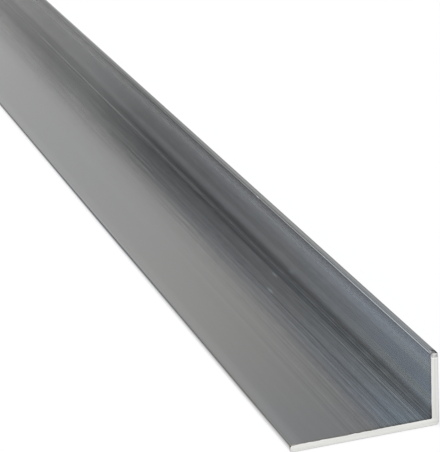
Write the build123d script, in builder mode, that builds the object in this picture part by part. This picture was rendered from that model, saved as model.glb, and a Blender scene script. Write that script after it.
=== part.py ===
from build123d import *
import os

# Aluminium angle section with unequal legs: one sawn length of extruded stock.
# It lies on its wide leg, and the short leg stands up along one side.
# X runs along the length, Y across the wide leg and Z up. The origin is in the middle of the underside.

length = 1000.0  # sawn length of the bar
wide_leg = 40.0  # outside width of the leg that lies flat
short_leg = 20.0  # outside height of the leg that stands up
thickness = 2.0  # wall of both legs

heel_radius = 0.8  # outside corner, where the legs meet
root_radius = 0.3  # inside corner
toe_radius = 0.7  # both edges of each leg's toe

saw_deburr = 0.15  # edge broken with a file all round each sawn end
tip_bevel_height = 1.5  # filed corner of the short leg at each end, measured down the cut
tip_bevel_length = 0.3  # the same corner, measured along the bar

toe_y = -wide_leg / 2
heel_y = wide_leg / 2
inner_y = heel_y - thickness
short_leg_middle_y = heel_y - thickness / 2
end_x = length / 2

# the section's corners in order round the outline, each with its radius
corners = [
    ((toe_y, 0), toe_radius),
    ((heel_y, 0), heel_radius),
    ((heel_y, short_leg), toe_radius),
    ((inner_y, short_leg), toe_radius),
    ((inner_y, thickness), root_radius),
    ((toe_y, thickness), toe_radius),
]
outline = [place for place, _ in corners]
outline_radii = [radius for _, radius in corners]

os.makedirs("parts", exist_ok=True)

with BuildPart() as angle_section:
    # the extruded bar: an L outline with rounded corners, carried along the length
    with BuildSketch(Plane.YZ.offset(-end_x)) as section:
        with BuildLine():
            FilletPolyline(outline, radius=outline_radii, close=True)
        make_face()
    extrude(amount=length)

    # the outline of both sawn ends is broken with a file
    sawn_faces = angle_section.faces().filter_by(Axis.X)
    chamfer(sawn_faces.edges(), saw_deburr)

    # a flat is filed on the tip of the short leg at both ends, where the saw leaves its burr:
    # the waste is a wedge whose slope runs on past the cut and past the toe
    with BuildSketch(Plane.XZ.offset(-short_leg_middle_y)) as bevel_waste:
        with BuildLine():
            Polyline(
                (end_x + tip_bevel_length, short_leg - 2 * tip_bevel_height),
                (end_x + tip_bevel_length, short_leg + tip_bevel_height),
                (end_x - 2 * tip_bevel_length, short_leg + tip_bevel_height),
                close=True,
            )
        make_face()
        mirror(about=Plane.YZ)
    extrude(amount=thickness, both=True, mode=Mode.SUBTRACT)

angle_section.part.label = "angle_section"
export_step(angle_section.part, "parts/angle_section.step")
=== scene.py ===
import math

import bpy
import numpy as np
from mathutils import Matrix, Vector


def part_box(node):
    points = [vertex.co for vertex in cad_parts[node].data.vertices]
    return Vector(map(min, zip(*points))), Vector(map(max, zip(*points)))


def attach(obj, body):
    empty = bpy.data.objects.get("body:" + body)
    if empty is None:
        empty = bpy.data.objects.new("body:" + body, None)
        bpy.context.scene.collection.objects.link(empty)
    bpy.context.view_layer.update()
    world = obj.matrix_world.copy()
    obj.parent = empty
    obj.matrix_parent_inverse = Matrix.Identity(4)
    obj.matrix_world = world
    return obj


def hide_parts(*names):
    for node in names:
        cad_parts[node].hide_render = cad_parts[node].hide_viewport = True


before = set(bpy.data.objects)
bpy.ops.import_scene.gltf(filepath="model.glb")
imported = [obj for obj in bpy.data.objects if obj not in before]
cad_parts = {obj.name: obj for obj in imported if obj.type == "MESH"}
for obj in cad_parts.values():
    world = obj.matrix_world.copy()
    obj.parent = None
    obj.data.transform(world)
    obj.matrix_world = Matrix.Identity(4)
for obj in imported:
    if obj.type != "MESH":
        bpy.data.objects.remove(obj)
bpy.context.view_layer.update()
print("frame loaded:", sorted(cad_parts))

mm = 0.001

cameraSetup = {
    "place": (0.94523, -0.17528, 0.23300),  # metres, beyond the sawn front end and to the toe's side
    "heading": 162.54,  # degrees from +X, anticlockwise seen from above
    "tilt": -20.12,  # degrees above the horizon
    "roll": -2.74,
    "lens": 169.0,  # mm, on a 36 mm sensor
}


def addCamera(setup):
    # turned to its heading from +Y, tipped up from looking straight down, then rolled about its own axis
    data = bpy.data.cameras.new("camera")
    data.lens = setup["lens"]
    data.sensor_width = 36.0
    data.clip_start = 0.01
    data.clip_end = 200.0
    camera = bpy.data.objects.new("camera", data)
    turn = Matrix.Rotation(math.radians(setup["heading"] - 90), 4, "Z")
    lean = Matrix.Rotation(math.radians(90 + setup["tilt"]), 4, "X")
    roll = Matrix.Rotation(math.radians(setup["roll"]), 4, "Z")
    camera.matrix_world = Matrix.Translation(Vector(setup["place"])) @ turn @ lean @ roll
    bpy.context.scene.collection.objects.link(camera)
    bpy.context.scene.camera = camera


addCamera(cameraSetup)
print("camera set")


class Wire:
    # one output socket of a shader tree; sums and products of wires add Math nodes
    def __init__(self, tree, made=None, output=0):
        self.tree = tree
        self.made = made
        self.socket = made.outputs[output] if made and len(made.outputs) else None

    def out(self, output):
        # another output of the same node
        return Wire(self.tree, self.made, output)

    def node(self, kind, settings=None, inputs=None, output=0):
        # adds any node: settings first, then numbers, colours or wires for its sockets
        made = self.tree.nodes.new(kind)
        for name, value in (settings or {}).items():
            if name == "stops":
                ramp = made.color_ramp
                while len(ramp.elements) < len(value):
                    ramp.elements.new(1.0)
                for element, (position, colour) in zip(ramp.elements, value):
                    element.position = position
                    element.color = (*colour, 1.0)
            else:
                setattr(made, name, value)
        for key, value in (inputs or {}).items():
            if isinstance(value, Wire):
                self.tree.links.new(value.socket, made.inputs[key])
            else:
                made.inputs[key].default_value = value
        return Wire(self.tree, made, output)

    def math(self, operation, *values):
        # one Math node on wires and numbers
        return self.node("ShaderNodeMath", {"operation": operation}, dict(enumerate(values)))

    def __add__(self, other):
        return self.math("ADD", self, other)

    def __sub__(self, other):
        return self.math("SUBTRACT", self, other)

    def __rsub__(self, other):
        return self.math("SUBTRACT", other, self)

    def __mul__(self, other):
        return self.math("MULTIPLY", self, other)

    def __truediv__(self, other):
        return self.math("DIVIDE", self, other)

    __radd__ = __add__
    __rmul__ = __mul__

    def between(self, low, high):
        # 0 below low, 1 above high, and a smooth rise from one to the other
        settings = {"interpolation_type": "SMOOTHSTEP"}
        inputs = {"Value": self, "From Min": low, "From Max": high}
        return self.node("ShaderNodeMapRange", settings, inputs)

    def blend(self, first, second):
        # a colour: first where this wire is 0, second where it is 1; sockets 6 and 7 are the Mix node's colours
        settings = {"data_type": "RGBA"}
        ends = [c if isinstance(c, Wire) else (*c, 1.0) for c in (first, second)]
        return self.node("ShaderNodeMix", settings, {0: self, 6: ends[0], 7: ends[1]}, 2)


def emptyTree(owner):
    # a material's or world's shader tree with nothing in it
    owner.use_nodes = True
    owner.node_tree.nodes.clear()
    return Wire(owner.node_tree)


section = {
    "wideLeg": 40.0,  # mm, outside
    "shortLeg": 20.0,
    "wall": 2.0,
    "heel": 0.8,  # radius of the outside corner
    "root": 0.3,  # radius of the inside corner
    "toe": 0.7,  # radius of all four toe edges
    "arcSteps": 9,
    "wideSteps": 320,
    "shortSteps": 130,
    "wallSteps": 5,
}
bar = {
    "deburr": 0.15,  # mm, edge broken round each sawn end
    "ragged": (0.11, 1.1, 26.0),  # how far the broken edge wanders, how often, and how far from the toe
    "tipDrop": 1.6,  # filed corner of the short leg, down the cut
    "keen": 0.10,  # how much less the edge is broken at the inside corner and along the short leg
    "tipRun": 0.3,  # and along the bar
    "tipTop": (0.3, 1.0),  # mm that the tip's top is filed down at the cut, and how far along the bar
    "bentBack": 3.0,  # the cross-sections follow the filed corner this far along the bar
    "endStations": (0, 0.04, 0.08, 0.12, 0.16, 0.20, 0.25, 0.30, 0.38, 0.48, 0.60, 0.90, 1.6, 3, 8),
    "middleStations": 42,
    "sharpFrom": 24.0,  # degrees between faces above which an edge is shaded sharp
    "mapEnds": 0.06,  # share of the baking map's width that each end's stations take
    "mapSides": 0.95,  # share of its height for the sides
    "mapCuts": (0.955, 0.98),  # where the two sawn faces start on it
    "mapCutHeight": 0.018,
}
# What the die has drawn along the bar, and the light and shade painted on it. The lines and fine lines are the
# die's own; the bands, the shade behind the saw cuts and the middle's shade are painted light and shade, and the
# tints are the painted colour of reflections. Each band or line is (place, half width, tone): mm round the
# section from the toe over the inside to the tip and back underneath, mm, and how much lighter or darker the
# metal is.
# A tone or tint may be given for each of the six distances from the saw cut in "along".
drawnAndPaintedLight = {
    "along": (6, 30, 100, 170, 250, 325),  # mm
    "bands": [
        (-0.9, 0.55, (0.22, 0.23, 0.35, 0.46, 0.46, 0.45)),  # painted highlight on the toe's face and its upper edge
        (-0.1, 0.25, (-0.22, -0.25, 0, 0, 0.22, 0.23)),
        (0.40, 0.22, (-0.55, -0.73, -0.54, -0.82, -0.62, -0.40)),
        (0.95, 0.20, (0.03, 0.10, 0.14, 0.46, 0.23, 0.10)),
        (1.9, 1.4, (0.23, 0.22, 0.13, 0.10, 0.12, 0.12)),
        (5.5, 3.0, 0.04),
        (11.0, 6.0, (0, 0, 0, 0.02, 0.04, 0.03)),
        (13.5, 1.2, (-0.02, -0.04, -0.03, 0.02, 0.02, 0)),
        (16.7, 0.7, (-0.09, -0.10, -0.05, 0, 0, 0)),
        (20.3, 1.6, (-0.09, -0.12, -0.07, -0.04, -0.02, -0.02)),
        (24.2, 0.6, (0.16, 0.12, 0.06, 0.03, 0, 0)),
        (25.1, 0.4, (-0.12, -0.12, 0, 0, 0, 0)),
        (26.9, 1.7, (0.16, 0.10, 0.26, 0.22, 0.10, 0.13)),
        (29.0, 2.3, (-0.12, -0.16, 0.12, 0.46, 0.39, 0.37)),
        (32.0, 5.0, -0.03),
        (33.0, 3.0, (-0.01, -0.04, 0.0, 0.13, 0.33, 0.52)),
        (34.8, 0.9, (-0.23, -0.26, -0.27, -0.10, 0.01, 0.0)),
        (36.2, 0.5, (0.22, 0.19, 0.28, 0.26, 0.34, 0.22)),
        (37.2, 0.7, (0.0, -0.14, -0.02, 0.06, 0.15, 0.34)),
        (37.75, 0.28, (0.42, 0.58, 0.42, 0.26, 0.30, 0.30)),
        (38.45, 0.35, (-0.16, -0.10, -0.10, -0.10, -0.10, -0.06)),
        (38.38, 0.12, (-0.53, -0.53, -0.66, -0.75, -0.75, -0.7)),  # painted shade in the inside corner
        (39.2, 0.5, (-0.39, -0.52, -0.42, -0.42, -0.26, -0.28)),
        (40.5, 0.88, (-0.40, -0.42, -0.54, -0.66, -0.70, -0.34)),
        (42.3, 0.6, (-0.05, -0.04, -0.06, -0.12, -0.22, -0.22)),
        (43.2, 1.0, (0.45, 0.47, 0.39, 0.23, 0.01, -0.08)),
        (45.8, 0.9, (0.05, 0.03, -0.02, -0.09, -0.12, -0.05)),
        (48.5, 6.0, (0.45, 0.40, 0.26, 0.11, -0.05, 0.07)),
        (48.0, 2.0, (0.05, 0.02, -0.12, -0.22, -0.22, -0.14)),
        (50.2, 0.8, (0.12, 0.08, 0.04, 0.02, 0.02, 0)),
        (53.2, 1.9, (0.25, 0.24, 0.21, 0.14, 0.07, -0.02)),
        (54.75, 0.4, (-0.03, -0.04, -0.03, 0.05, 0.06, 0.05)),
        (55.2, 0.45, (0.14, 0.0, -0.06, -0.12, -0.12, -0.06)),
        (55.0, 0.22, (0.10, 0.04, 0, 0, 0, 0)),
        (55.42, 0.12, (-0.30, -0.25, -0.15, 0, 0, 0)),
        (55.60, 0.10, (0.25, 0, 0, 0, 0, 0)),
        (55.75, 0.19, (-0.52, -0.56, -0.70, -0.90, -0.86, -0.78)),  # painted shade on the tip's edges
        (56.05, 0.22, (-0.20, -0.05, -0.14, -0.07, -0.2, -0.15)),
        (56.28, 0.08, (-0.12, -0.32, -0.05, 0, 0, 0)),
        (56.75, 0.22, (0.10, 0.08, 0.13, -0.05, -0.22, -0.30)),
        (57.55, 0.32, (-0.68, -0.80, -0.80, -0.80, -0.75, -0.78)),
    ],
    "dullBands": [(47.0, 4.0, 0.02), (53.0, 1.9, 0.12)],  # rougher metal
    # painted colour of reflections: colder above 0, warmer below
    "tints": [
        (0.8, 0.3, (-0.65, -0.62, -0.2, 0, 0, 0)),
        (10.0, 9.0, (-0.02, -0.05, 0, 0.04, 0.03, 0)),
        (31.5, 4.0, (-0.24, -0.32, -0.18, -0.04, -0.05, 0)),
        (36.2, 1.4, (-0.12, -0.13, -0.10, -0.05, 0, 0)),
        (39.2, 1.7, (0.04, -0.14, 0.02, 0.03, 0, 0)),
        (45.7, 3.2, (0.53, 0.40, -0.08, 0.03, 0, 0)),
        (53.0, 2.5, (0.32, 0.32, 0.03, 0.05, 0, 0)),
        (55.85, 0.18, (0.42, 0.42, 0.1, 0.1, 0, 0)),
        (56.3, 0.25, (-0.75, -0.6, -0.35, -0.2, 0, 0)),
        (57.0, 0.3, (0.2, 0.2, 0, 0, 0, 0)),
    ],
    "lines": [
        (15.4, 0.16, 0.10), (16.3, 0.25, -0.03), (18.4, 0.20, 0.09), (22.4, 0.30, -0.05), (24.6, 0.25, -0.06),
        (25.9, 0.22, 0.08), (27.1, 0.20, 0.10), (27.8, 0.20, -0.08), (28.9, 0.25, -0.07), (29.8, 0.30, -0.19),
        (30.7, 0.20, 0.12), (31.6, 0.20, 0.12), (33.5, 0.30, -0.17), (34.4, 0.18, 0.14), (35.4, 0.25, 0.08),
        (36.9, 0.30, -0.18), (40.1, 0.45, -0.08), (42.7, 0.35, 0.10), (44.4, 0.30, 0.08), (45.7, 0.30, -0.06),
        (47.1, 0.35, -0.07), (49.3, 0.35, -0.06), (50.6, 0.30, 0.05), (52.2, 0.35, 0.06), (54.6, 0.30, -0.06),
    ],
    # share of a line's strength far from the saw cuts, and mm over which it falls, on the toe's side and beyond
    "lineReach": (0.15, 95.0, 230.0),
    "mottled": [(54.6, 0.45, 1.0), (40.3, 0.9, 0.5)],
    "fineLines": 870,
    "fineWidth": (0.08, 0.17),
    "fineTone": 0.075,
    "relief": 0.03,  # mm of height for a tone of 1
    "sawLine": (0.12, 0.20, -0.42),  # painted shade: a darker line round the bar just behind each cut
    "sawShade": (0.6, 0.35, -0.20),  # and a wider painted shade near the inside corner and on the short leg
    # painted colour of reflections: a warmer line just behind each cut
    "sawTint": (0.4, 0.7, -0.20),
    "middleShade": (47.0, 9.0, -0.17),  # painted shade: darker short leg at the middle of the bar
    "middleFrom": (325.0, 400.0),  # mm from the cut over which the middle's shade comes in
    "seed": 11,
}
# Places round the section, in the same mm: each pair is where a change begins and where it is complete.
places = {
    "insideEnd": 57.0,  # the middle of the tip's flat
    "linedWide": (12.0, 30.0),
    "linedShort": (38.5, 41.0),
    "corner": (16.0, 28.0),
    "farReach": (22.0, 30.0),
    "keenEnds": (53.0, 55.0),
    "tintEnds": 55.0,
}
lining = {"toeSide": 0.10, "shortLegLoss": 0.55, "outside": 0.5}  # shares of the full strength
sawn = {
    "rim": 0.06,  # tone of the cut's inner rim, a painted highlight
    # painted shade along the cut's outer rim
    "outerRim": -0.05,
    "rimShares": (0.1, 0.7),  # the outer rim ends and the inner rim starts at these shares of the wall
    "foldWidth": 0.05,  # mm
    "heel": (2.0, -0.08),  # mm round the heel, and its painted shade
    "fold": 0.25,  # painted highlight: bright edge under the filed corner
    "toe": (0.9, -0.07),  # and the same painted shade at the toe
    "filed": -0.20,  # painted shade over the filed corner
    # its patches of painted light and shade: mm from the short leg's outside and from its tip, reach and tone
    "patches": [
        (0.9, 0.5, 0.35, 0.28), (0.35, 1.05, 0.60, -0.42), (1.85, 0.6, 0.35, -0.40), (1.9, 1.1, 0.3, -0.30),
    ],
}


def runPoints(start, end, steps, crowding=0.0):
    # a straight run with its last point left out; crowding above 0 packs points towards the end
    t = np.arange(steps) / steps
    t = t + crowding * t * (1 - t)
    return np.outer(1 - t, start) + np.outer(t, end)


def arcPoints(centre, radius, fromAngle, toAngle, steps):
    # a circular arc with its last point left out: centre plus radius times (cosine, sine)
    angle = np.radians(fromAngle + (toAngle - fromAngle) * np.arange(steps) / steps)
    return np.array(centre) + radius * np.stack([np.cos(angle), np.sin(angle)], 1)


def wallSides(s, fold):
    # the outside and the inside line of the section, in step with each other, from the toe to the tip
    half, wall, tip, toe = s["wideLeg"] / 2, s["wall"], s["shortLeg"], s["toe"]
    heel, root, inner = s["heel"], s["root"], s["wideLeg"] / 2 - s["wall"]
    arc, wide, short, tall = s["arcSteps"], s["wideSteps"], s["shortSteps"], s["arcSteps"]
    outside = [
        arcPoints((-half + toe, toe), toe, 180, 270, arc),
        runPoints((-half + toe, 0), (half - heel, 0), wide, 0.4),
        arcPoints((half - heel, heel), heel, 270, 360, arc),
        runPoints((half, heel), (half, fold), short),
        runPoints((half, fold), (half, tip - toe), tall),
        arcPoints((half - toe, tip - toe), toe, 0, 90, arc),
        [(half - toe, tip)],
    ]
    inside = [
        arcPoints((-half + toe, wall - toe), toe, 180, 90, arc),
        runPoints((-half + toe, wall), (inner - root, wall), wide, 0.4),
        arcPoints((inner - root, wall + root), root, 270, 360, arc),
        runPoints((inner, wall + root), (inner, fold), short),
        runPoints((inner, fold), (inner, tip - toe), tall),
        arcPoints((inner + toe, tip - toe), toe, 180, 90, arc),
        [(inner + toe, tip)],
    ]
    return np.concatenate(outside), np.concatenate(inside)


def closedRing(outside, inside, s):
    # The whole outline once round, from the toe's lower edge over the inside and the tip to the underside,
    # with the ring's numbers for the outside line's points and for the inside line's.
    arc, steps = s["arcSteps"], s["wallSteps"]
    toeFace = runPoints(outside[0], inside[0], steps)[1:]
    tipFace = runPoints(inside[-1], outside[-1], steps)[1:]
    ring = np.concatenate([outside[arc::-1], toeFace, inside, tipFace, outside[:arc:-1]])
    order = np.arange(len(outside))
    return ring, np.where(order <= arc, arc - order, len(ring) + arc - order), arc + steps + order


def smoothRise(value, low, high):
    # 0 below low and 1 above high, with three times the square less twice the cube of the share between
    t = np.clip((value - low) / (high - low), 0, 1)
    return t * t * (3 - 2 * t)


def bell(value, line):
    # a bell curve: height times e to the minus half the square of the distance in half widths
    place, width, height = line
    return height * np.exp(-0.5 * ((value - place) / width) ** 2)


def bells(value, lines):
    # the sum of several bell curves
    return sum(bell(value, line) for line in lines)


def linedness(girth):
    # how strongly the die has lined each face: little on the toe's half of the wide leg, most near the root
    wideLeg = lining["toeSide"] + (1 - lining["toeSide"]) * smoothRise(girth, *places["linedWide"])
    shortLeg = 1 - lining["shortLegLoss"] * smoothRise(girth, *places["linedShort"])
    return np.where(girth < places["insideEnd"], wideLeg * shortLeg, lining["outside"])


def fineTone(girth, along, d, rng):
    # tone of a drawn face: a sum of fine bell-shaped lines along the bar that slowly gain and lose strength
    place = rng.uniform(girth[0], girth[-1], d["fineLines"])
    width = rng.uniform(*d["fineWidth"], d["fineLines"])
    tone = rng.normal(0, d["fineTone"], d["fineLines"]) * linedness(place)
    phase = rng.uniform(0, 2 * math.pi, (2, len(place)))
    along = along[:, None]
    swell = 1 + 0.25 * np.sin(along / 70 + phase[0]) + 0.2 * np.sin(along / 23 + phase[1])
    each = np.exp(-0.5 * ((girth[:, None] - place) / width) ** 2)
    return np.einsum("pk,xk,k->xp", each, swell, tone)


def spread(girth, fromEnd, bands, stops):
    # the sum of the bands' bell curves round the section, each with its strength at this distance from the cut
    total = 0
    for place, width, tones in bands:
        strength = np.interp(fromEnd, stops, np.broadcast_to(tones, len(stops)))
        total = total + strength[:, None] * bell(girth, (place, width, 1))
    return total


def lineWane(girth, fromEnd, d):
    # how much of the lines is left at a distance from the saw cut
    share, toeSide, beyond = d["lineReach"]
    reach = toeSide + (beyond - toeSide) * smoothRise(girth, *places["farReach"])
    return share + (1 - share) * np.exp(-((fromEnd[:, None] / reach) ** 2))


def drawnTone(girth, along, fromEnd, d, rng):
    # two parts: the lines, which are grooves as well and fade along the bar, and the painted light and shade of
    # the bands, behind the saw cuts and at the middle
    lines = lineWane(girth, fromEnd, d) * (fineTone(girth, along, d, rng) + bells(girth, d["lines"]))
    shade = bell(fromEnd, d["sawLine"])[:, None] + bell(fromEnd, d["sawShade"])[:, None] * cornerSide(girth)
    middle = bell(girth, d["middleShade"]) * smoothRise(fromEnd, *d["middleFrom"])[:, None]
    return lines, shade + middle + spread(girth, fromEnd, d["bands"], d["along"])


def drawnTint(girth, fromEnd, d):
    # painted colour of reflections, colder or warmer: the bands' tints, and a warm line behind each cut
    warm = bell(fromEnd, d["sawTint"])[:, None] * (0.5 + 0.5 * cornerSide(girth)) * (girth < places["tintEnds"])
    return warm + spread(girth, fromEnd, d["tints"], d["along"])


def cornerSide(girth):
    # 0 on the toe's half of the wide leg, 1 near the inside corner and on the short leg
    return smoothRise(girth, *places["corner"]) * (girth < places["insideEnd"])


def barStations(length, b):
    # distances of the cross-sections along the bar, close together at the sawn ends
    near = np.array(b["endStations"], float)
    middle = np.linspace(near[-1], length - near[-1], b["middleStations"])[1:-1]
    return np.concatenate([near, middle, length - near[::-1]])


def patch(place, centre, reach, tone):
    # a round soft patch: tone times e to the minus squared distance in reaches
    return tone * np.exp(-((np.linalg.norm(place - centre, axis=-1) / reach) ** 2))


def cutTone(outside, inside, s, b, cut):
    # painted light and shade of a sawn face, rows along the section and columns from the outside line to the
    # inside line
    inner = np.linspace(0, 1, s["wallSteps"] + 1)
    place = outside[:, None] * (1 - inner[:, None]) + inside[:, None] * inner[:, None]
    up = place[..., 1]
    fold = s["shortLeg"] - b["tipDrop"]
    outerShare, innerShare = cut["rimShares"]
    tone = np.where(inner > innerShare, cut["rim"], 0.0) + np.where(inner < outerShare, cut["outerRim"], 0.0)
    corner = np.array((s["wideLeg"] / 2, s["shortLeg"]))
    tone = tone + patch(place, corner * (1, 0), *cut["heel"]) + patch(place, corner * (-1, 0), *cut["toe"])
    tone = tone + cut["fold"] * (np.abs(up - fold) < cut["foldWidth"])
    filed = sum(patch(place, corner - (inside, below), *rest) for inside, below, *rest in cut["patches"])
    return np.where(up > fold + cut["foldWidth"], cut["filed"] + filed, tone)


def angleMesh(name, length, s, b, d, cut):
    # A rounded wall section carried along the bar. Point (x, p) is the section's outline at p, moved into the
    # metal by the drawn relief and, near the saw cuts, by the broken edge; x is bent back at the filed corner.
    fold = s["shortLeg"] - b["tipDrop"]
    outside, inside = wallSides(s, fold)
    ring, ofOutside, ofInside = closedRing(outside, inside, s)
    stations = barStations(length, b)
    fromEnd = np.minimum(stations, length - stations)
    rng = np.random.default_rng(d["seed"])

    walk = np.concatenate([[0], np.cumsum(np.linalg.norm(np.diff(ring, axis=0), axis=1))])
    girth = walk - walk[ofInside[0]]
    lines, bands = drawnTone(girth, stations, fromEnd, d, rng)
    tip, tipEnd = girth[ofInside[-1]], girth[ofOutside[-1]]
    edges = np.interp(girth, (0, 1.5, tip - 1.5, tip, tipEnd, tipEnd + 1.5, girth[-1] - 1.5, girth[-1]),
                      (0, 1, 1, 0, 0, 1, 1, 0))
    tangent = np.roll(ring, -1, 0) - np.roll(ring, 1, 0)
    tangent /= np.linalg.norm(tangent, axis=1, keepdims=True)
    normals = np.stack([tangent[:, 1], -tangent[:, 0]], 1)

    wander, spacing, until = b["ragged"]
    teeth = np.arange(0, until, spacing)
    ragged = np.interp(girth, teeth, wander * rng.uniform(-1, 1, len(teeth)), 0, 0)
    keen = b["keen"] * cornerSide(girth) * (1 - smoothRise(girth, *places["keenEnds"]))
    broken = np.clip(b["deburr"] + ragged - keen - fromEnd[:, None], 0, None)
    inward = d["relief"] * (lines.max() - lines) * edges + broken
    across = ring + inward[..., None] * normals
    lowered, reach = b["tipTop"]
    foot = s["shortLeg"] - s["toe"]
    rise = np.clip((ring[:, 1] - foot) / s["toe"], 0, 1)
    near = np.clip(1 - fromEnd / reach, 0, 1)[:, None]
    squared = (s["toe"] - lowered) * (1 - (1 - rise) ** 2) - s["toe"] * rise  # the round top made low and square
    across[..., 1] += near * squared
    back = b["tipRun"] * np.clip(ring[:, 1] - fold, 0, None) / b["tipDrop"]
    back = back * np.clip(1 - fromEnd[:, None] / b["bentBack"], 0, 1)
    along = stations[:, None] - length / 2 + np.where(stations < length / 2, 1, -1)[:, None] * back
    shell = np.concatenate([along[..., None], across], 2)

    # the sides' faces, and each corner's place on the baking map
    count = len(ring)
    sides = np.arange(len(stations) * count).reshape(len(stations), count)
    after = np.roll(sides, -1, 1)
    quads = [np.stack([sides[:-1], sides[1:], after[1:], after[:-1]], -1).reshape(-1, 4)]
    points = [shell.reshape(-1, 3)]
    last = b["endStations"][-1]
    mapAlong = np.interp(stations, (0, last, length - last, length), (0, b["mapEnds"], 1 - b["mapEnds"], 1))
    turn = np.append(walk, walk[-1] + np.linalg.norm(ring[0] - ring[-1]))
    mapRound = b["mapSides"] * turn / turn[-1]
    u, v = np.meshgrid(mapAlong, mapRound, indexing="ij")
    onMap = np.stack([u, v], -1)
    corners = [onMap[:-1, :-1], onMap[1:, :-1], onMap[1:, 1:], onMap[:-1, 1:]]
    maps = [np.stack(corners, -2).reshape(-1, 4, 2)]

    # a sawn face: straight lines through the wall from the outside line to the inside line
    rows, columns = len(inside), s["wallSteps"] + 1
    used = sides.size
    depth = (np.arange(1, columns - 1) / (columns - 1))[None, :, None]
    facing = cutTone(outside, inside, s, b, cut)
    cutTones = [np.zeros(used)]
    for end, low in zip((0, -1), b["mapCuts"]):
        outer, inner = shell[end, ofOutside][1:-1, None], shell[end, ofInside][1:-1, None]
        cap = outer * (1 - depth) + inner * depth
        grid = np.empty((rows, columns), int)
        grid[:, 0] = sides[end, ofOutside]
        grid[:, -1] = sides[end, ofInside]
        grid[0, 1:-1] = sides[end, ofOutside[0] + 1 : ofInside[0]]
        grid[-1, 1:-1] = sides[end, ofInside[-1] + 1 : ofOutside[-1]][::-1]
        grid[1:-1, 1:-1] = used + np.arange(cap[..., 0].size).reshape(cap.shape[:2])
        used += cap[..., 0].size
        points.append(cap.reshape(-1, 3))
        cutTones.append(facing[1:-1, 1:-1].ravel())
        for edge in (np.s_[:, 0], np.s_[:, -1], np.s_[0, 1:-1], np.s_[-1, 1:-1]):
            cutTones[0][grid[edge]] = facing[edge]
        through = low + b["mapCutHeight"] * np.linspace(0, 1, columns)
        u, v = np.meshgrid(girth[ofInside] / tip, through, indexing="ij")
        place = np.stack([u, v], -1)
        step = -1 if end == 0 else 1
        corners = [np.s_[:-1, :-1], np.s_[1:, :-1], np.s_[1:, 1:], np.s_[:-1, 1:]][::step]
        quads.append(np.stack([grid[corner] for corner in corners], -1).reshape(-1, 4))
        maps.append(np.stack([place[corner] for corner in corners], -2).reshape(-1, 4, 2))

    sideFaces = len(quads[0])
    points, quads, maps = np.concatenate(points), np.concatenate(quads), np.concatenate(maps)
    mesh = bpy.data.meshes.new(name)
    mesh.from_pydata(points * mm, [], quads)
    mesh.uv_layers.new(name="OFBake").data.foreach_set("uv", maps.ravel())

    # material slots: 0 drawn skin, 1 sawn face, 2 filed corner
    slots = np.zeros(len(quads), np.int32)
    slots[sideFaces:] = np.where(points[quads[sideFaces:], 2].mean(1) > fold, 2, 1)
    mesh.polygons.foreach_set("material_index", slots)
    mesh.polygons.foreach_set("use_smooth", slots == 0)

    def keep(label, values):
        # one number for each point; the sawn faces' own points get 0 where no value is given
        every = np.zeros(len(points))
        every[: values.size] = values.ravel()
        mesh.attributes.new(label, "FLOAT", "POINT").data.foreach_set("value", every)

    # the die's lines, with the painted light and shade of the bands, the saw cuts and the middle
    keep("drawnTone", lines + bands)
    # the painted colour of reflections
    keep("drawnTint", drawnTint(girth, fromEnd, d))
    keep("marked", linedness(girth) * lineWane(girth, fromEnd, d))
    for label, values in (("dullness", bells(girth, d["dullBands"])), ("mottled", bells(girth, d["mottled"])),
                          ("lined", linedness(girth)), ("girth", girth)):
        keep(label, np.broadcast_to(values, sides.shape))
    # the painted light and shade of the sawn faces
    keep("cutTone", np.concatenate(cutTones))
    mesh.set_sharp_from_angle(angle=math.radians(b["sharpFrom"]))
    mesh.update()
    return mesh


lowest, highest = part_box("angle_section")
barLength = (highest.x - lowest.x) / mm
barMesh = angleMesh("angle_bar", barLength, section, bar, drawnAndPaintedLight, sawn)
angleBar = bpy.data.objects.new("angle_bar", barMesh)
bpy.context.scene.collection.objects.link(angleBar)
print("bar made:", len(barMesh.polygons), "faces")


skinFinish = {
    "colour": (0.600, 0.598, 0.604),
    "warm": (1.2, 1.04, 0.8),  # what a tint of -1 multiplies the colour by
    "roughness": 0.15,
    "streaksPerMm": 2.2,
    "streakHeight": 0.000037,  # metres: scatters reflections across the bar, not along it
    "streakTone": 0.22,
    "dashes": (150.0, 1.3),  # short broken streaks, to the metre along the bar and to the mm across
    "dashTone": 0.26,
    "blots": (700.0, 2.0),  # dark mottling, in the same units
    "blotTone": 0.16,
    "blotEdge": (0.45, 0.65),  # the noise's values over which a blot sets in
    "streakLength": 10.0,  # to the metre along the bar
    # specks and scratches: mm from the saw cut, place round the section, half length, half width, slope, tone
    "marks": [
        (98, 30.4, 2.4, 0.5, 0, 1.8), (109.5, 35.8, 2.2, 0.5, 0, 1.2), (172, 36.8, 2.5, 0.4, 0, 0.7),
        (81, 27.1, 1.2, 0.3, 0, 0.3), (130, 55.6, 2.0, 0.4, 0, 0.6), (163, 41.8, 4.0, 0.35, 0.4, 0.5),
        (184, 46.8, 6.0, 1.2, 0, -0.07),
    ],
}
sawnFinish = {
    "colour": (0.80, 0.80, 0.775),
    "roughness": 0.50,
    "markTone": 0.40,
    "shortLegTone": 0.03,
}
filedFinish = {
    "colour": (0.90, 0.90, 0.88),
    "roughness": 0.40,
    "markTone": 0.30,
    "shortLegTone": 0.0,
}


def toned(tone, colour):
    # the colour made lighter or darker by the tone: black at -1, twice as light at 1
    double = colour if isinstance(colour, Wire) else tuple(2 * c for c in colour)
    return (tone * 0.5 + 0.5).blend((0, 0, 0), double)


def tinted(tint, colour, warm):
    # twice the colour, times the warm factors where the tint is -1 and as much colder where it is 1
    ends = [tuple(2 * c * (1 + side * (w - 1)) for c, w in zip(colour, warm)) for side in (1, -1)]
    return (tint * 0.5 + 0.5).blend(*ends)


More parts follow.
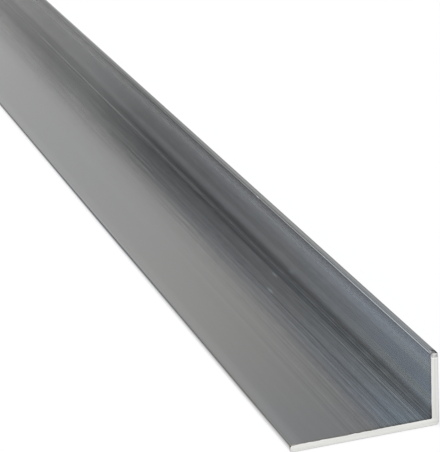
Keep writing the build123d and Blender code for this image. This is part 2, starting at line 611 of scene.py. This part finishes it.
def smallMark(along, girth, mark):
    # one scratch or speck: full strength at its middle and none beyond its half length and half width
    fromEnd, place, halfLength, halfWidth, slope, strength = mark
    onward = barLength / 2 - fromEnd - along * (1 / mm)
    lengthwise = onward / halfLength
    sideways = (girth - place - slope * onward) / halfWidth
    return strength * (1 - (lengthwise * lengthwise + sideways * sideways).between(0, 1))


def noise(wires, place, dimensions, more):
    # noise of one unit's grain at the place given
    inputs = {"Vector": place, "Scale": 1.0, **more}
    return wires.node("ShaderNodeTexNoise", {"noise_dimensions": dimensions}, inputs)


def metal(wires, colour, roughness, bump):
    # bare metal as the tree's surface
    inputs = {"Base Color": colour, "Metallic": 1.0, "Roughness": roughness, "Normal": bump}
    shader = wires.node("ShaderNodeBsdfPrincipled", inputs=inputs)
    wires.node("ShaderNodeOutputMaterial", inputs={"Surface": shader})


def skinMaterial(a):
    # the drawn skin: its tone is the mesh's own, die lines with painted light and shade, plus streaks and dashes
    # where it is marked, less the blots
    material = bpy.data.materials.new("drawn_skin")
    wires = emptyTree(material)
    place = wires.node("ShaderNodeTexCoord", output=3)
    along = wires.node("ShaderNodeSeparateXYZ", inputs={0: place})
    girth, drawnAndPaintedLight, tint, lined, marked, mottled, dullness = (
        wires.node("ShaderNodeAttribute", {"attribute_name": name}, output=2)
        for name in ("girth", "drawnTone", "drawnTint", "lined", "marked", "mottled", "dullness")
    )
    drawnOut = {0: along * a["streakLength"], 1: girth * a["streaksPerMm"]}
    flat = wires.node("ShaderNodeCombineXYZ", inputs=drawnOut)
    streak = noise(wires, flat, "2D", {"Detail": 2.0, "Roughness": 0.6})
    grains = [
        wires.node("ShaderNodeCombineXYZ", inputs={0: along * rate, 1: girth * across})
        for rate, across in (a["dashes"], a["blots"])
    ]
    dash, blot = (noise(wires, grain, "2D", {"Detail": 1.0}) for grain in grains)
    grooves = lined * (streak - 0.5)
    tone = drawnAndPaintedLight + marked * (a["streakTone"] * (streak - 0.5) + a["dashTone"] * (dash - 0.5))
    tone = tone - a["blotTone"] * mottled * blot.between(*a["blotEdge"])
    for mark in a["marks"]:
        tone = tone + smallMark(along, girth, mark)
    rough = a["roughness"] + dullness
    raised = {"Strength": 1.0, "Distance": a["streakHeight"], "Height": grooves}
    bump = wires.node("ShaderNodeBump", inputs=raised)
    metal(wires, toned(tone, tinted(tint, a["colour"], a["warm"])), rough, bump)
    return material


# The saw's marks: noise drawn out along one axis of the sawn face, turned where the short leg begins.
sawMarks = {
    "alongLeg": 60.0,  # to the metre
    "acrossLeg": 3000.0,
    "turnAt": (0.0018, 0.0024),  # metres up over which the marks turn
    "bump": (0.2, 0.0001),  # strength, and metres
    "roughness": 0.1,  # added where the noise is 1
}


def cutMaterial(name, a):
    # a sawn or filed face: the mesh's own painted light and shade, plus the saw's marks, less a little on the
    # short leg
    material = bpy.data.materials.new(name)
    wires = emptyTree(material)
    place = wires.node("ShaderNodeTexCoord", output=3)
    apart = wires.node("ShaderNodeSeparateXYZ", inputs={0: place})
    shortLeg = apart.out(2).between(*sawMarks["turnAt"])
    slow, fast = sawMarks["alongLeg"], sawMarks["acrossLeg"]
    stretched = [
        wires.node("ShaderNodeMapping", inputs={"Vector": place, "Scale": scale})
        for scale in ((1.0, slow, fast), (1.0, fast, slow))
    ]
    marks = [noise(wires, way, "3D", {"Detail": 2.0, "Roughness": 0.6}) for way in stretched]
    mark = marks[0] + shortLeg * (marks[1] - marks[0])
    facing = wires.node("ShaderNodeAttribute", {"attribute_name": "cutTone"}, output=2)
    tone = facing + a["markTone"] * (mark - 0.5) - a["shortLegTone"] * shortLeg
    strength, distance = sawMarks["bump"]
    bump = wires.node("ShaderNodeBump", inputs={"Strength": strength, "Distance": distance, "Height": mark})
    metal(wires, toned(tone, a["colour"]), a["roughness"] + sawMarks["roughness"] * mark, bump)
    return material


angleBar.data.materials.append(skinMaterial(skinFinish))
for name, finish in (("sawn_face", sawnFinish), ("filed_corner", filedFinish)):
    angleBar.data.materials.append(cutMaterial(name, finish))
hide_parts("angle_section")
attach(angleBar, "root")
print("aluminium done")


floorSetup = {
    "size": 60.0,  # metres
    "colour": (0.93, 0.93, 0.93),
    "drop": 0.00005,  # metres under the bar
    "white": 0.75,  # share of plain white that the camera and mirrors see over the lit floor
}


def addFloor(f):
    # a square sheet whose shader mixes lit floor and plain white, which keeps part of the bar's shadow
    half = f["size"] / 2
    corners = [(x * half, y * half, -f["drop"]) for x, y in ((-1, -1), (1, -1), (1, 1), (-1, 1))]
    mesh = bpy.data.meshes.new("floor")
    mesh.from_pydata(corners, [], [(0, 1, 2, 3)])
    floor = bpy.data.objects.new("floor", mesh)
    bpy.context.scene.collection.objects.link(floor)
    material = bpy.data.materials.new("pale_floor")
    wires = emptyTree(material)
    diffuse = wires.node("ShaderNodeBsdfDiffuse", inputs={"Color": (*f["colour"], 1.0)})
    glow = wires.node("ShaderNodeEmission", inputs={"Color": (1, 1, 1, 1), "Strength": 1.0})
    camera = wires.node("ShaderNodeLightPath", output="Is Camera Ray")
    glossy = wires.node("ShaderNodeLightPath", output="Is Glossy Ray")
    through = wires.node("ShaderNodeLightPath", output="Is Transmission Ray")
    seen = (camera + glossy + through) * f["white"]
    mixed = wires.node("ShaderNodeMixShader", inputs={0: seen, 1: diffuse, 2: glow})
    wires.node("ShaderNodeOutputMaterial", inputs={"Surface": mixed})
    mesh.materials.append(material)


worldSetup = {
    # stops: sine of the elevation, and the colour of the studio wall there
    "right": [
        (0.0, (1.1, 1.1, 1.1)), (0.10, (0.98, 0.98, 0.98)), (0.17, (0.84, 0.83, 0.84)),
        (0.22, (0.65, 0.65, 0.65)), (0.26, (0.50, 0.50, 0.49)), (0.30, (0.43, 0.44, 0.44)),
        (0.38, (0.47, 0.46, 0.44)), (0.42, (0.29, 0.30, 0.30)), (0.46, (0.29, 0.31, 0.33)),
        (0.52, (0.08, 0.08, 0.09)), (0.6, (0.05, 0.05, 0.05)), (0.75, (0.2, 0.2, 0.2)), (1.0, (0.5, 0.5, 0.5)),
    ],
    "left": [
        (0.0, (0.86, 0.87, 0.84)), (0.10, (0.90, 0.90, 0.87)), (0.17, (0.79, 0.78, 0.76)),
        (0.22, (0.56, 0.55, 0.54)), (0.26, (0.20, 0.22, 0.21)), (0.30, (0.05, 0.05, 0.05)),
        (0.34, (0.06, 0.06, 0.06)), (0.38, (0.32, 0.33, 0.35)), (0.46, (0.325, 0.385, 0.42)),
        (0.52, (0.38, 0.54, 0.70)), (0.60, (0.71, 0.835, 1.08)), (0.75, (0.86, 0.92, 1.05)),
        (1.0, (0.9, 0.9, 0.95)),
    ],
    "front": [(0.0, (1, 1, 1)), (0.5, (0.85, 0.85, 0.85)), (1.0, (0.6, 0.6, 0.6))],
    "sideTurn": (-0.25, 0.25),  # sideways part of the direction over which left gives way to right
    "frontTurn": (-0.1, 0.4),  # lengthwise part over which both give way to front
}


def addWorld(w):
    # the studio's walls: three ramps of elevation, for the bar's two sides and for the near end
    world = bpy.data.worlds.new("studio")
    bpy.context.scene.world = world
    wires = emptyTree(world)
    way = wires.node("ShaderNodeTexCoord", output=0)
    apart = wires.node("ShaderNodeSeparateXYZ", inputs={0: way})
    left, right, front = (
        wires.node("ShaderNodeValToRGB", {"stops": w[name]}, {0: apart.out(2)})
        for name in ("left", "right", "front")
    )
    sides = apart.out(1).between(*w["sideTurn"]).blend(left, right)
    wall = apart.between(*w["frontTurn"]).blend(sides, front)
    shader = wires.node("ShaderNodeBackground", inputs={"Color": wall, "Strength": 1.0})
    wires.node("ShaderNodeOutputWorld", inputs={"Surface": shader})


lampSetup = {"place": (0.2, -0.6, 2.2), "size": 1.6, "power": 30.0}  # metres, metres across, watts


def addLamp(setup):
    # a round lamp that looks at the origin
    data = bpy.data.lights.new("overhead", "AREA")
    data.shape = "DISK"
    data.size = setup["size"]
    data.energy = setup["power"]
    lamp = bpy.data.objects.new("overhead", data)
    lamp.location = setup["place"]
    lamp.rotation_euler = (-Vector(setup["place"])).to_track_quat("-Z", "Y").to_euler()
    lamp.visible_glossy = False  # left out of the metal's reflections, where it would be plain white from above
    bpy.context.scene.collection.objects.link(lamp)


addFloor(floorSetup)
addWorld(worldSetup)
addLamp(lampSetup)
bpy.context.scene.view_settings.view_transform = "Standard"
print("floor and light done")
